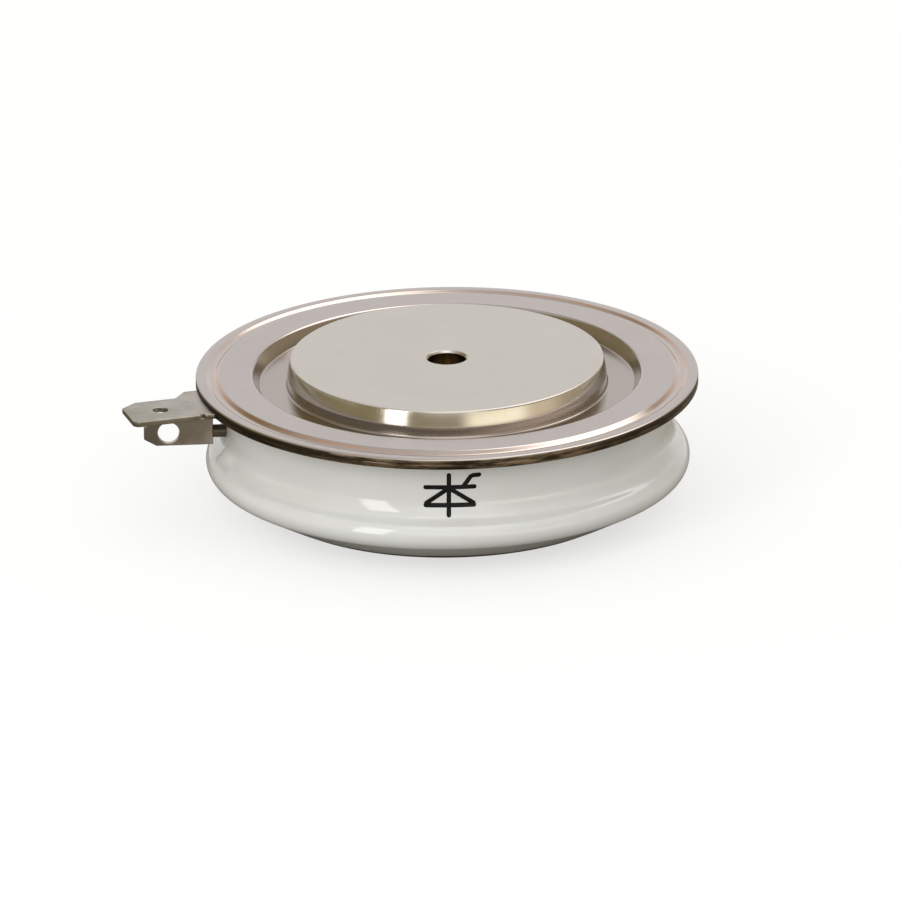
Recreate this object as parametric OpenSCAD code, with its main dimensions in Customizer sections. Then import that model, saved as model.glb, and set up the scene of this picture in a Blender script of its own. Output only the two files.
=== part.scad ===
// Disc thyristor: a flat capsule with a plated copper pole on each face, a glazed ceramic ring
// between them, and two flat tabs for the gate and the auxiliary cathode at its side.
// Millimetres. The origin is the middle of the anode face, and +Z points to the cathode face.

/* [Overall] */
// Height over the two pole faces
total_h = 14; // [13.6:0.1:15.5]
// Diameter of both poles at their wall
pole_d = 29.6; // [26:0.1:34]
// Distance from a pole's wall out to the welded rim
rim_reach = 8.45; // [7.6:0.05:9.5]

/* [Poles] */
// How much smaller the cathode pole is at its face than below the rim
pole_taper = 0.5; // [0.2:0.1:1]
// Rounding of a pole's outer edge
pole_edge_r = 0.3; // [0.2:0.05:0.5]
// Height of the cathode face above the rim
pole_step = 1.48; // [1.2:0.02:1.8]
// Height of the anode pole
anode_pole_h = 4.2; // [3.8:0.1:4.5]
// Diameter of the centring hole in each face
centre_hole_d = 3.5; // [3:0.1:4]
// Depth of a centring hole
centre_hole_depth = 2; // [1.5:0.1:2.2]
// Width of the chamfer at the mouth of a centring hole
hole_chamfer = 0.2; // [0.1:0.05:0.3]

/* [Rim] */
// Sheet thickness of the cathode flange
flange_t = 0.5; // [0.4:0.05:0.6]
// Sheet thickness of the weld ring and its tab
weld_ring_t = 0.5; // [0.4:0.05:0.6]
// Width of the lip outside the weld groove
lip_w = 0.95; // [0.7:0.05:1.2]
// Width of the weld groove
weld_groove_w = 1.1; // [0.8:0.05:1.3]
// Depth of the weld groove
weld_groove_depth = 0.14; // [0.08:0.02:0.18]
// Run of a side wall of the weld groove
weld_groove_slope = 0.08; // [0.04:0.01:0.12]
// Width of the flat band inside the weld groove
band_w = 2.12; // [1.8:0.02:2.3]
// Radial run of the shoulder from the flat band to the recess floor
shoulder_run = 1.66; // [1.5:0.02:1.8]
// Radius of the shoulder's lower bend on the upper side of the sheet
shoulder_bend_r = 0.35; // [0.2:0.05:0.4]
// Depth of the recess below the rim
recess_depth = 1.04; // [0.9:0.02:1.2]
// Height of the collar that holds the flange to the pole
collar_h = 1.2; // [0.8:0.1:1.6]
// Rounding of the lip's upper edge
lip_round = 0.15; // [0.05:0.05:0.25]

/* [Ceramic ring] */
// How far the neck stands in from the rim
neck_inset = 2.75; // [2.5:0.05:3]
// How far the rib stands in from the rim
rib_inset = 0.85; // [0.7:0.05:1]
// Height of the rib's widest line
rib_z = 4.37; // [4.1:0.05:4.6]
// Rounding of the rib
rib_round = 1.4; // [1.2:0.1:1.6]
// Radius of the flare above the rib
flare_r = 2.4; // [2.2:0.1:2.8]
// Free space between the poles and the bore of the ceramic ring
bore_gap = 2; // [1.8:0.1:2.4]
// Width of the foot on the anode flange
foot_w = 1.3; // [1:0.1:1.6]
// Height of the foot
foot_z = 1.15; // [0.95:0.05:1.4]
// Width of the ledge inside the bore, above the foot
ledge_w = 1; // [0.8:0.05:1.1]
// Thickness of the ledge
ledge_t = 1.2; // [0.8:0.1:1.2]
// Width of the land under the weld ring
land_w = 1.5; // [1.2:0.1:1.6]
// Overlap of the weld ring on the land
land_lap = 1; // [0.7:0.1:1.1]
// Free space under the recess of the flange
recess_gap = 0.35; // [0.2:0.05:0.5]

/* [Anode flange] */
// How far its edge stands in from the edge of the foot
anode_inset = 0.9; // [0.6:0.1:1.1]
// Sheet thickness of the anode flange
anode_flange_t = 0.5; // [0.4:0.05:0.6]
// Height of its collar above the foot
anode_collar_h = 1.2; // [0.8:0.1:1.4]

/* [Auxiliary tab] */
// Direction of the tab
aux_azimuth = 196.5; // [190:0.5:204]
// Width of the tab
aux_w = 5.2; // [4.8:0.1:5.6]
// Length of the tab beyond the rim
aux_l = 7.6; // [7:0.1:9]
// Diameter of its hole
aux_hole_d = 1.4; // [1.2:0.1:1.8]
// Distance of its hole from its end
aux_hole_inset = 3.25; // [2.8:0.05:3.6]
// Length of the cut corner at its end
aux_corner_l = 1.5; // [0.8:0.1:1.8]
// Width of the cut corner at its end
aux_corner_w = 1.1; // [0.6:0.1:1.3]
// Cut of its other corner
aux_front_corner = 0.4; // [0.2:0.1:0.8]
// Extra width of its root on one side
aux_shoulder_w = 1.4; // [1:0.1:1.8]
// Distance from the rim to the full width of the root
aux_shoulder_near = 0.95; // [0.7:0.05:1.2]
// Distance from the rim to the plain width of the tab
aux_shoulder_far = 2.2; // [1.9:0.1:2.5]
// Distance from the rim to the relief notch
notch_offset = 0.8; // [0.5:0.1:1.2]
// Width of the relief notch
notch_w = 0.4; // [0.3:0.1:0.6]
// Depth of the relief notch
notch_depth = 0.5; // [0.3:0.1:0.8]

/* [Gate tab] */
// Direction of the gate tube and tab
gate_azimuth = 183.5; // [178:0.5:186]
// Height of the gate tube above the inner face of the cathode pole
gate_rise = 0.9; // [0.8:0.05:1.1]
// Diameter of the gate tube
gate_tube_d = 1.2; // [1.2:0.1:1.5]
// Wall of the gate tube
gate_tube_wall = 0.18; // [0.12:0.02:0.2]
// Length of the gate tube outside the neck
gate_tube_out = 1.25; // [1:0.05:1.6]
// Length of the gate tube inside the bore of the ceramic
gate_tube_in = 0.4; // [0.2:0.1:0.7]
// Width of the gate tab
gate_tab_w = 2.5; // [2.3:0.1:2.8]
// Thickness of the gate tab
gate_tab_t = 0.5; // [0.4:0.05:0.55]
// Length of the gate tab
gate_tab_l = 6.4; // [5.5:0.1:7.5]
// Diameter of its hole
gate_hole_d = 2; // [1.4:0.1:2.1]
// Distance of its hole from its end
gate_hole_inset = 2.28; // [2.1:0.02:2.6]
// Length of the cut corners at its end
gate_corner_l = 1.15; // [0.6:0.05:1.3]
// Width of the cut corners at its end
gate_corner_w = 0.65; // [0.4:0.05:0.8]
// Length of the tongue that sits in the gate tube
tongue_l = 1.1; // [0.8:0.1:1.4]
// Free width between the tongue's edges and the tube
tongue_clear = 0.03; // [0.02:0.01:0.06]

/* [Wafer stack] */
// How far the anode disc and the wafer stand in from the poles' wall
disc_inset = 0.9; // [0.6:0.05:1.2]
// Thickness of the anode disc
anode_disc_t = 1.5; // [1.2:0.1:1.8]
// Thickness of the wafer
wafer_t = 0.4; // [0.3:0.05:0.6]
// Run of the bevel on the wafer's edge
wafer_bevel = 0.7; // [0.4:0.1:1]
// Thickness of the cathode disc
cathode_disc_t = 0.5; // [0.4:0.05:0.8]
// Lap of the edge coating on the wafer's face
coat_lap = 0.5; // [0.3:0.1:0.8]
// Free space round and over the edge coating
coat_gap = 0.2; // [0.1:0.05:0.25]
// Height of the centring ring's skirt round the anode pole
skirt_h = 1; // [0.6:0.1:1.1]
// Free space round the centring ring
ring_gap = 0.2; // [0.1:0.05:0.3]
// Sliding clearance of the centring ring on discs and pole
ring_clear = 0.05; // [0.02:0.01:0.08]

/* [Gate contact] */
// Diameter of the gate bore in the cathode pole
gate_bore_d = 4.8; // [4.6:0.1:5.4]
// Depth of the gate bore
gate_bore_depth = 3.4; // [3.2:0.1:3.6]
// Wall of the insulating cup
cup_wall = 0.45; // [0.3:0.05:0.55]
// Free space under the insulating cup
cup_gap = 0.1; // [0.05:0.05:0.2]
// Diameter of the contact's head
head_d = 3.2; // [2.8:0.1:3.4]
// Height of the contact's head
head_h = 1.2; // [1:0.1:1.3]
// Diameter of the contact's pin
pin_d = 1.6; // [1.2:0.1:1.8]
// Free space between the pin and the cathode disc
pin_gap = 0.8; // [0.6:0.1:1]
// Diameter of the spring's wire
spring_wire_d = 0.3; // [0.25:0.05:0.35]
// Mean diameter of the spring's coil
spring_coil_d = 2.2; // [2:0.1:2.4]
// Turns of the spring
spring_turns = 2.5; // [2:0.25:2.5]
// Diameter of the gate lead
lead_d = 0.5; // [0.4:0.05:0.6]
// Depth of the lead in the contact's head
lead_socket = 0.8; // [0.6:0.1:1]
// Diameter of the lead's sleeve
sleeve_d = 1.2; // [1:0.1:1.3]
// Free space round the sleeve in the pole's slot
slot_clear = 0.2; // [0.1:0.05:0.3]

/* [Hidden] */
$fn = 96;
arc_steps = 10;
cut = 1;
wire_sides = 8;
steps_per_turn = 16;
spring_flat_turns = 0.2;

// Radii of the pole and the rim, and of the rim's bands from the outside in
pole_r = pole_d / 2;
rim_r = pole_r + rim_reach;
groove_out_r = rim_r - lip_w;
groove_in_r = groove_out_r - weld_groove_w;
shoulder_r = groove_in_r - band_w;
floor_r = shoulder_r - shoulder_run;

// Heights at the cathode end
rim_z = total_h - pole_step;
seam_z = rim_z - flange_t;
land_z = seam_z - weld_ring_t;
floor_z = rim_z - recess_depth;

// Shoulder: two bends that meet where their tangents agree, so the upper one takes up the rest
shoulder_slope = 2 * atan2(recess_depth, shoulder_run);
upper_bend_r = shoulder_run / sin(shoulder_slope) - shoulder_bend_r;

// Ceramic ring: the flare and the rib meet where their tangents agree
neck_r = rim_r - neck_inset;
rib_r = rim_r - rib_inset;
bore_r = pole_r + bore_gap;
foot_r = bore_r + foot_w;
ledge_r = bore_r - ledge_w;
land_in_r = neck_r - land_w;
weld_in_r = neck_r - land_lap;
flare_angle = acos(1 - (rib_r - neck_r) / (flare_r + rib_round));
flare_z = rib_z + (flare_r + rib_round) * sin(flare_angle);
rib_centre = [rib_r - rib_round, rib_z];
foot_point = [foot_r, foot_z];
foot_offset = foot_point - rib_centre;
taper_angle = atan2(foot_offset.y, foot_offset.x) + acos(rib_round / norm(foot_offset));
counterbore_z = floor_z - flange_t - recess_gap;

// Wafer stack, from the anode pole up
disc_r = pole_r - disc_inset;
wafer_z = anode_pole_h + anode_disc_t;
wafer_top_z = wafer_z + wafer_t;
stack_z = wafer_top_z + cathode_disc_t;
coat_in_r = disc_r - wafer_bevel - coat_lap;
ring_out_r = bore_r - ring_gap;

// Gate parts
gate_z = stack_z + gate_rise;
gate_bore_z = stack_z + gate_bore_depth;
cup_in_z = gate_bore_z - cup_wall;
head_z = gate_z - head_h / 2;
head_top_z = head_z + head_h;
slot_w = sleeve_d + 2 * slot_clear;
slot_top_z = gate_z + slot_w / 2;
tube_bore_d = gate_tube_d - 2 * gate_tube_wall;
tube_start = bore_r - gate_tube_in;
tube_end = neck_r + gate_tube_out;
tongue_w = sqrt(pow(tube_bore_d - tongue_clear, 2) - pow(gate_tab_t, 2));
tongue_start = tube_end - tongue_l;
lead_start = head_d / 2 - lead_socket;
sleeve_start = gate_bore_d / 2 - cup_wall;
sleeve_end = tube_start;

// Points along an arc, with both ends
function arc(centre, r, from, to) = [
    for (i = [0:arc_steps])
        let (a = from + (to - from) * i / arc_steps)
        centre + r * [cos(a), sin(a)]
];

// A turned piece from its half outline, given as radius and height
module turned(outline) {
    rotate_extrude() polygon(outline);
}

// Stands its children out from the axis at the height of the gate tube
module gate_spoke() {
    rotate([0, 0, gate_azimuth]) translate([0, 0, gate_z]) rotate([0, 90, 0]) children();
}

// A round bar along the gate spoke
module spoke_bar(d, from, to) {
    gate_spoke() translate([0, 0, from]) cylinder(d = d, h = to - from);
}

// A blind centring hole with a chamfered mouth, cut downwards from the origin
module centring_hole() {
    hole_r = centre_hole_d / 2;
    translate([0, 0, -centre_hole_depth]) cylinder(r = hole_r, h = centre_hole_depth + cut);
    turned([[0, -hole_chamfer], [hole_r, -hole_chamfer], [hole_r + hole_chamfer, 0],
            [hole_r + hole_chamfer, cut], [0, cut]]);
}

// The slot for the insulated lead, open towards the wafer
module lead_slot() {
    rotate([0, 0, gate_azimuth])
        translate([0, -slot_w / 2, stack_z - cut])
        cube([pole_r + cut, slot_w, slot_top_z - stack_z + cut]);
}

module cathode_pole() {
    face_r = pole_r - pole_taper / 2;
    color("silver") difference() {
        turned(concat(
            [[0, stack_z], [pole_r - pole_edge_r, stack_z], [pole_r, stack_z + pole_edge_r],
             [pole_r, rim_z]],
            arc([face_r - pole_edge_r, total_h - pole_edge_r], pole_edge_r, 0, 90),
            [[0, total_h]]
        ));
        translate([0, 0, total_h]) centring_hole();
        translate([0, 0, stack_z - cut]) cylinder(d = gate_bore_d, h = gate_bore_depth + cut);
        lead_slot();
    }
}

// Pressed from sheet of one thickness: collar, recess floor, shoulder, flat band and lip
module cathode_flange() {
    low_bend = [floor_r, floor_z + shoulder_bend_r];
    high_bend = [shoulder_r, rim_z - upper_bend_r];
    groove_z = rim_z - weld_groove_depth;
    color("gainsboro") turned(concat(
        [[pole_r, floor_z - collar_h], [pole_r, floor_z]],
        arc(low_bend, shoulder_bend_r, -90, shoulder_slope - 90),
        arc(high_bend, upper_bend_r, shoulder_slope + 90, 90),
        [[groove_in_r, rim_z], [groove_in_r + weld_groove_slope, groove_z],
         [groove_out_r - weld_groove_slope, groove_z], [groove_out_r, rim_z]],
        arc([rim_r - lip_round, rim_z - lip_round], lip_round, 90, 0),
        [[rim_r, seam_z]],
        arc(high_bend, upper_bend_r - flange_t, 90, shoulder_slope + 90),
        arc(low_bend, shoulder_bend_r + flange_t, shoulder_slope - 90, -90),
        [[pole_r + flange_t, floor_z - flange_t], [pole_r + flange_t, floor_z - collar_h]]
    ));
}

// Flat outline of the auxiliary tab, with x out from the axis
module aux_tab_outline() {
    half_w = aux_w / 2;
    root_w = half_w + aux_shoulder_w;
    start = groove_out_r + weld_groove_slope;
    end = rim_r + aux_l;
    difference() {
        polygon([
            [start, -root_w], [rim_r + aux_shoulder_near, -root_w],
            [rim_r + aux_shoulder_far, -half_w], [end - aux_corner_l, -half_w],
            [end, aux_corner_w - half_w], [end, half_w - aux_front_corner],
            [end - aux_front_corner, half_w], [start, half_w]
        ]);
        translate([rim_r + notch_offset, half_w - notch_depth]) square([notch_w, notch_depth + cut]);
    }
}

// Stamped ring under the flange, with the auxiliary tab in one piece
module weld_ring() {
    groove_z = land_z + weld_groove_depth;
    color("tan") difference() {
        union() {
            turned([
                [weld_in_r, land_z], [groove_in_r, land_z],
                [groove_in_r + weld_groove_slope, groove_z],
                [groove_out_r - weld_groove_slope, groove_z],
                [groove_out_r, land_z], [rim_r, land_z], [rim_r, seam_z], [weld_in_r, seam_z]
            ]);
            rotate([0, 0, aux_azimuth]) translate([0, 0, land_z])
                linear_extrude(weld_ring_t) aux_tab_outline();
        }
        rotate([0, 0, aux_azimuth]) translate([rim_r + aux_l - aux_hole_inset, 0, land_z - cut])
            cylinder(d = aux_hole_d, h = weld_ring_t + 2 * cut);
    }
}

// Neck, flare, rib and taper outside, a bore with a wider mouth and a ledge inside
module ceramic_ring() {
    color("ivory") difference() {
        turned(concat(
            [[ledge_r, foot_z], foot_point],
            arc(rib_centre, rib_round, taper_angle, flare_angle),
            arc([neck_r + flare_r, flare_z], flare_r, flare_angle + 180, 180),
            [[neck_r, land_z], [land_in_r, land_z], [land_in_r, counterbore_z],
             [bore_r, counterbore_z], [bore_r, foot_z + ledge_t], [ledge_r, foot_z + ledge_t]]
        ));
        spoke_bar(gate_tube_d, tube_start, tube_end);
    }
}

module anode_flange() {
    low_z = foot_z - anode_flange_t;
    edge_r = foot_r - anode_inset;
    collar_r = pole_r + anode_flange_t;
    color("silver") turned([
        [pole_r, low_z], [edge_r, low_z], [edge_r, foot_z], [collar_r, foot_z],
        [collar_r, foot_z + anode_collar_h], [pole_r, foot_z + anode_collar_h]
    ]);
}

module anode_pole() {
    color("silver") difference() {
        turned(concat(
            [[0, 0]],
            arc([pole_r - pole_edge_r, pole_edge_r], pole_edge_r, -90, 0),
            [[pole_r, anode_pole_h - pole_edge_r], [pole_r - pole_edge_r, anode_pole_h],
             [0, anode_pole_h]]
        ));
        mirror([0, 0, 1]) centring_hole();
    }
}

module anode_disc() {
    color("dimgray") translate([0, 0, anode_pole_h]) cylinder(r = disc_r, h = anode_disc_t);
}

module silicon_wafer() {
    color("slategray") translate([0, 0, wafer_z])
        cylinder(r1 = disc_r, r2 = disc_r - wafer_bevel, h = wafer_t);
}

module edge_coating() {
    coat_top_z = stack_z - coat_gap;
    color("snow") turned([
        [coat_in_r, wafer_top_z], [disc_r - wafer_bevel, wafer_top_z], [disc_r, wafer_z],
        [disc_r, coat_top_z], [coat_in_r, coat_top_z]
    ]);
}

module cathode_disc() {
    color("dimgray") translate([0, 0, wafer_top_z]) difference() {
        cylinder(r = coat_in_r - coat_gap, h = cathode_disc_t);
        translate([0, 0, -cut]) cylinder(d = pin_d + 2 * pin_gap, h = cathode_disc_t + 2 * cut);
    }
}

// Rests on the anode pole, with a skirt round the pole
module centring_ring() {
    ring_in_r = disc_r + ring_clear;
    skirt_in_r = pole_r + ring_clear;
    color("wheat") turned([
        [ring_in_r, anode_pole_h], [skirt_in_r, anode_pole_h],
        [skirt_in_r, anode_pole_h - skirt_h], [ring_out_r, anode_pole_h - skirt_h],
        [ring_out_r, stack_z - ring_gap], [ring_in_r, stack_z - ring_gap]
    ]);
}

// A cup in the gate bore, open towards the wafer and slotted for the lead
module gate_insulator() {
    low_z = stack_z + cup_gap;
    color("white") difference() {
        translate([0, 0, low_z]) cylinder(d = gate_bore_d, h = gate_bore_z - low_z);
        translate([0, 0, low_z - cut])
            cylinder(d = gate_bore_d - 2 * cup_wall, h = cup_in_z - low_z + cut);
        lead_slot();
    }
}

// A round wire wound between the contact's head and the cup, with level end turns
module gate_spring() {
    wire_r = spring_wire_d / 2;
    steps = round(spring_turns * steps_per_turn);
    climb = cup_in_z - head_top_z - spring_wire_d;
    climb_turns = spring_turns - 2 * spring_flat_turns;
    color("silver") polyhedron(
        points = [
            for (i = [0:steps], j = [0:wire_sides - 1])
                let (
                    turn = spring_turns * i / steps,
                    part = min(1, max(0, (turn - spring_flat_turns) / climb_turns)),
                    side = 360 * j / wire_sides,
                    r = spring_coil_d / 2 + wire_r * cos(side)
                )
                [r * cos(360 * turn), r * sin(360 * turn),
                 head_top_z + wire_r + climb * part + wire_r * sin(side)]
        ],
        faces = concat(
            [[for (j = [0:wire_sides - 1]) j]],
            [[for (j = [0:wire_sides - 1]) steps * wire_sides + wire_sides - 1 - j]],
            [for (i = [0:steps - 1], j = [0:wire_sides - 1])
                let (a = i * wire_sides + j, b = i * wire_sides + (j + 1) % wire_sides)
                [a, a + wire_sides, b + wire_sides, b]]
        )
    );
}

module gate_contact() {
    color("gold") difference() {
        union() {
            translate([0, 0, wafer_top_z]) cylinder(d = pin_d, h = head_z - wafer_top_z);
            translate([0, 0, head_z]) cylinder(d = head_d, h = head_h);
        }
        spoke_bar(lead_d, lead_start, head_d);
    }
}

module gate_lead() {
    color("orange") spoke_bar(lead_d, lead_start, tongue_start);
}

module lead_sleeve() {
    color("whitesmoke") difference() {
        spoke_bar(sleeve_d, sleeve_start, sleeve_end);
        spoke_bar(lead_d, sleeve_start - cut, sleeve_end + cut);
    }
}

module gate_tube() {
    color("silver") difference() {
        spoke_bar(gate_tube_d, tube_start, tube_end);
        spoke_bar(tube_bore_d, tube_start - cut, tube_end + cut);
    }
}

// Side outline of the gate tab, with x out from the axis and y up
module gate_tab_outline() {
    half_w = gate_tab_w / 2;
    end = tube_end + gate_tab_l;
    translate([tongue_start, -tongue_w / 2]) square([tongue_l, tongue_w]);
    polygon([
        [tube_end, -half_w], [end - gate_corner_l, -half_w], [end, gate_corner_w - half_w],
        [end, half_w - gate_corner_w], [end - gate_corner_l, half_w], [tube_end, half_w]
    ]);
}

module gate_tab() {
    color("tan") rotate([0, 0, gate_azimuth]) translate([0, 0, gate_z]) rotate([90, 0, 0])
        difference() {
            linear_extrude(gate_tab_t, center = true) gate_tab_outline();
            translate([tube_end + gate_tab_l - gate_hole_inset, 0, 0])
                cylinder(d = gate_hole_d, h = gate_tab_t + 2 * cut, center = true);
        }
}

cathode_pole();
cathode_flange();
weld_ring();
ceramic_ring();
anode_flange();
anode_pole();
anode_disc();
silicon_wafer();
edge_coating();
cathode_disc();
centring_ring();
gate_insulator();
gate_spring();
gate_contact();
gate_lead();
lead_sleeve();
gate_tube();
gate_tab();
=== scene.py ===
import math

import bmesh
import bpy
from bpy.props import FloatProperty, FloatVectorProperty, IntProperty, PointerProperty
from bpy.types import Operator, Panel, PropertyGroup
from mathutils import Matrix, Vector


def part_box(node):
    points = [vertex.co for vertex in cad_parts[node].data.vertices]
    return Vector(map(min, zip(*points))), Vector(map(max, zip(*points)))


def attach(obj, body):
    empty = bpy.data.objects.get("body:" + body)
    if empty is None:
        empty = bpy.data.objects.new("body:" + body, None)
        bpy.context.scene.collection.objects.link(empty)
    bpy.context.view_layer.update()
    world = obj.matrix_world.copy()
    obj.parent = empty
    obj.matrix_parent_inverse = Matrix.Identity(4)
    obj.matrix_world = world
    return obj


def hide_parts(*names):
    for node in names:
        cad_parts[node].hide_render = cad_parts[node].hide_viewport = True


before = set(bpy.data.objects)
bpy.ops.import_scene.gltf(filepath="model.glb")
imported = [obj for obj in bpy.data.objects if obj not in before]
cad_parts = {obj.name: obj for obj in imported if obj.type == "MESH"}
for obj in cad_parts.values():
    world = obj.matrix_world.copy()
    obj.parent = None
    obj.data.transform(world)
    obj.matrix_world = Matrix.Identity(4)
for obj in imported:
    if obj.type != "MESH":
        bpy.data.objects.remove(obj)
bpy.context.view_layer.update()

bl_info = {
    "name": "Disc thyristor capsule",
    "version": (1, 0, 0),
    "blender": (4, 5, 0),
    "location": "3D View > Sidebar > Capsule",
    "description": "Turned poles, pressed flanges, glazed ring, tabs and print of a disc thyristor",
    "category": "Object",
}

MM = 0.001
BODY = "root"
# How far a cutting tool reaches past what it cuts
CUT = 1.0 * MM
# Height in millimetres that no face has
NO_FACE = 100.0
# Direction of the camera round the axis
FRONT = -1.57
WHITE = (1.0, 1.0, 1.0)


# Sizes and colours

def lowest(node):
    """Lowest corner of a solid of the frame."""
    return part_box(node)[0]


def highest(node):
    """Highest corner of a solid of the frame."""
    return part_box(node)[1]


def length(name, description, default):
    """A length in metres."""
    return FloatProperty(name=name, description=description, default=default, min=0.0,
                         precision=6, subtype="DISTANCE", unit="LENGTH")


def angle(name, description, degrees):
    """An angle, given in degrees."""
    return FloatProperty(name=name, description=description, default=math.radians(degrees),
                         subtype="ANGLE", unit="ROTATION")


def count(name, description, default):
    """A whole number above zero."""
    return IntProperty(name=name, description=description, default=default, min=1)


def amount(name, description, default):
    """A plain number from zero up."""
    return FloatProperty(name=name, description=description, default=default, min=0.0,
                         subtype="FACTOR")


def colour(name, description, default):
    """A linear colour."""
    return FloatVectorProperty(name=name, description=description, default=default, size=3,
                               min=0.0, max=1.0, subtype="COLOR")


class PoleSizes(PropertyGroup):
    """Sizes of the two turned poles"""
    wall_radius: length("Wall radius", "Radius of both poles at their wall",
                        highest("cathode_pole").x)
    top: length("Cathode face", "Height of the cathode face", highest("cathode_pole").z)
    inner: length("Inner face", "Height of the cathode pole's inner face",
                  lowest("cathode_pole").z)
    anode_top: length("Anode inner face", "Height of the anode pole's inner face",
                      highest("anode_pole").z)
    taper: length("Taper", "Radius lost between the wall and the cathode face", 0.31 * MM)
    edge_round: length("Edge rounding", "Rounding of the outer edges", 0.2 * MM)
    hole_radius: length("Hole radius", "Radius of the centring holes", 1.75 * MM)
    hole_depth: length("Hole depth", "Depth of the centring holes", 2.0 * MM)
    hole_chamfer: length("Hole chamfer", "Chamfer of the centring holes", 0.2 * MM)
    hole_edge: length("Hole edge", "Rounding below the holes' chamfer", 0.05 * MM)
    mouth_edge: length("Mouth edge", "Rounding of the holes' mouths", 0.06 * MM)
    wall_edge: length("Wall edge", "Rounding where the taper starts", 0.1 * MM)
    bore_radius: length("Gate bore radius", "Radius of the bore for the gate contact", 2.4 * MM)
    bore_depth: length("Gate bore depth", "Depth of the bore for the gate contact", 3.4 * MM)
    slot_width: length("Slot width", "Width of the slot for the gate lead", 1.6 * MM)
    slot_depth: length("Slot depth", "Depth of the slot for the gate lead", 1.7 * MM)


class RimSizes(PropertyGroup):
    """Sizes of the pressed flanges and the weld ring"""
    radius: length("Rim radius", "Radius of the welded rim", highest("cathode_flange").x)
    top: length("Rim height", "Height of the rim's upper face", highest("cathode_flange").z)
    seam: length("Seam height", "Height of the seam between the two lips",
                 highest("weld_ring").z)
    land: length("Land height", "Height of the weld ring's lower face", lowest("weld_ring").z)
    collar_end: length("Collar end", "Height of the lower end of the collar",
                       lowest("cathode_flange").z)
    ring_bore: length("Ring bore", "Radius of the weld ring's bore", 19.5 * MM)
    lip: length("Lip", "Width of the lip outside the weld groove", 0.95 * MM)
    groove: length("Groove width", "Width of the weld groove", 1.1 * MM)
    groove_depth: length("Groove depth", "Depth of the weld groove", 0.2 * MM)
    groove_slope: length("Groove slope", "Run of the groove's side walls", 0.36 * MM)
    groove_round: length("Groove rounding", "Rounding of the groove's edges", 0.36 * MM)
    band: length("Band", "Width of the flat band inside the groove", 2.92 * MM)
    band_lift: length("Band lift", "Height of the band above the lip", 0.14 * MM)
    slope: angle("Shoulder slope", "Slope of the shoulder between its bends", 60.0)
    recess: length("Recess", "Depth of the recess below the rim", 1.04 * MM)
    bend: length("Lower bend", "Radius of the shoulder's lower bend", 0.25 * MM)
    upper_bend: length("Upper bend", "Radius of the shoulder's upper bend", 0.42 * MM)
    braze: length("Braze line", "Width of the braze line at the pole's foot", 0.22 * MM)
    band_return: length("Band return", "Distance from the band to the groove", 0.1 * MM)
    lip_round: length("Lip rounding", "Rounding of the lip's upper edge", 0.22 * MM)
    seam_round: length("Seam rounding", "Rounding of the edges at the seam", 0.06 * MM)
    ring_round: length("Ring rounding", "Rounding of the weld ring's lower edge", 0.12 * MM)
    foot_round: length("Foot rounding", "Rounding of the anode flange's edge", 0.08 * MM)
    edge_round: length("Edge rounding", "Rounding of the other edges", 0.05 * MM)


class CeramicSizes(PropertyGroup):
    """Sizes of the glazed ring"""
    neck: length("Neck", "Radius of the neck", 20.5 * MM)
    rib: length("Rib", "Largest radius, at the rib", highest("ceramic_ring").x)
    rib_height: length("Rib height", "Height of the widest line", 4.37 * MM)
    rib_round: length("Rib rounding", "Rounding of the rib", 1.4 * MM)
    flare: length("Flare", "Radius of the flare above the rib", 2.4 * MM)
    bore: length("Bore", "Radius of the bore", 16.8 * MM)
    foot: length("Foot", "Radius of the foot", 18.1 * MM)
    foot_height: length("Foot height", "Height of the foot", lowest("ceramic_ring").z)
    ledge: length("Ledge", "Radius of the ledge inside the bore", 15.8 * MM)
    ledge_height: length("Ledge height", "Height of the ledge's upper face", 2.35 * MM)
    land_width: length("Land", "Width of the land under the weld ring", 1.5 * MM)
    mouth: length("Mouth", "Height of the step inside the mouth", 10.63 * MM)
    edge_round: length("Edge rounding", "Rounding of the ring's edges", 0.1 * MM)


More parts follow.
